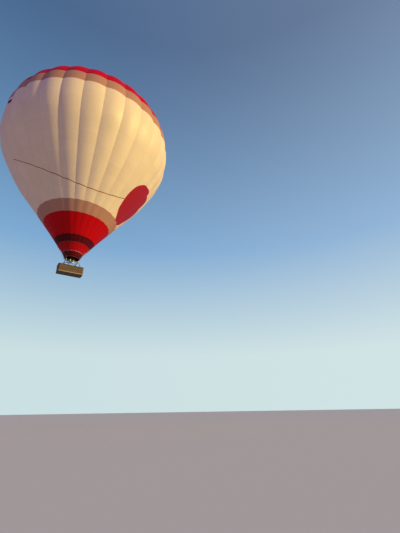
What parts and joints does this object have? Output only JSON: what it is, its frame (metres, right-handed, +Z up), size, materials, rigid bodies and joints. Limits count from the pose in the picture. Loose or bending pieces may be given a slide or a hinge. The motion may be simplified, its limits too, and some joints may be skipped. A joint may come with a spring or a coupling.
{
  "type": "hot air balloon",
  "caption": "Gored fabric balloon envelope with a parachute valve and skirt, carrying a burner frame and a partitioned wicker basket for passengers.",
  "frame": {"origin": "in the air at the centre of the envelope's widest ring", "axes": "+Z up along the envelope's axis, +X along the basket's long sides, +Y across the basket"},
  "size_m": [25.876, 25.876, 31.224],
  "materials": {
    "envelope_cloth": "coated woven nylon, cream",
    "taupe_cloth": "coated woven nylon, grey-brown",
    "red_cloth": "coated woven nylon, red",
    "dark_red_cloth": "flame resistant woven cloth, dark red",
    "webbing": "woven load tape",
    "aluminium": "turned",
    "steel": "brushed stainless tube and wire",
    "bright_steel": "bright stainless, heat tinted at the coils",
    "leather": "dark padded leather",
    "plywood": "sealed plywood and hardwood",
    "wicker": "woven willow cane",
    "rawhide": "pale hide laced over the lower edge",
    "cylinder_metal": "brushed stainless"
  },
  "bodies": {
    "balloon": {"envelope_mouth_band": "dark_red_cloth", "envelope_cone_red": "red_cloth", "envelope_cone_taupe": "taupe_cloth", "envelope_body_lower": "envelope_cloth", "envelope_body_upper": "envelope_cloth", "envelope_crown_taupe": "taupe_cloth", "envelope_crown_red": "red_cloth", "crown_tapes": "webbing", "crown_ring": "aluminium", "mouth_ring": "steel", "skirt": "dark_red_cloth", "skirt_hoop": "steel", "flying_wires_1": "steel", "flying_wires_2": "steel", "flying_wires_3": "steel", "flying_wires_4": "steel", "karabiner_1": "bright_steel", "karabiner_2": "bright_steel", "karabiner_3": "bright_steel", "karabiner_4": "bright_steel", "load_frame": "steel", "uprights_1": "leather", "uprights_2": "leather", "uprights_3": "leather", "uprights_4": "leather", "basket_floor": "plywood", "basket_side_front": "wicker", "basket_side_back": "wicker", "basket_end_left": "wicker", "basket_end_right": "wicker", "basket_rim": "leather", "basket_edge_strip": "rawhide", "skid_1": "plywood", "skid_2": "plywood", "skid_3": "plywood", "partition_cross_1": "wicker", "partition_cross_2": "wicker", "partition_long_1": "wicker", "partition_long_2": "wicker", "gas_cylinder_1": "cylinder_metal", "gas_cylinder_2": "cylinder_metal", "gas_cylinder_3": "cylinder_metal", "gas_cylinder_4": "cylinder_metal"},
    "valve": {"parachute_valve": "red_cloth"},
    "gimbal": {"gimbal_frame": "steel"},
    "burners": {"burner_block": "steel", "burner_1": "bright_steel", "burner_2": "bright_steel", "burner_3": "bright_steel", "burner_4": "bright_steel"}
  },
  "joints": [
    {"name": "valve_slide", "type": "slide", "parent": "balloon", "child": "valve", "axis": [0, 0, 1], "range_m": [-1.2, 0]},
    {"name": "gimbal_roll", "type": "hinge", "parent": "balloon", "child": "gimbal", "pos_m": [0, 0, -20.25], "axis": [1, 0, 0], "range_deg": [-12, 12]},
    {"name": "burner_pitch", "type": "hinge", "parent": "gimbal", "child": "burners", "pos_m": [0, 0, -20.25], "axis": [0, 1, 0], "range_deg": [-12, 12]}
  ]
}
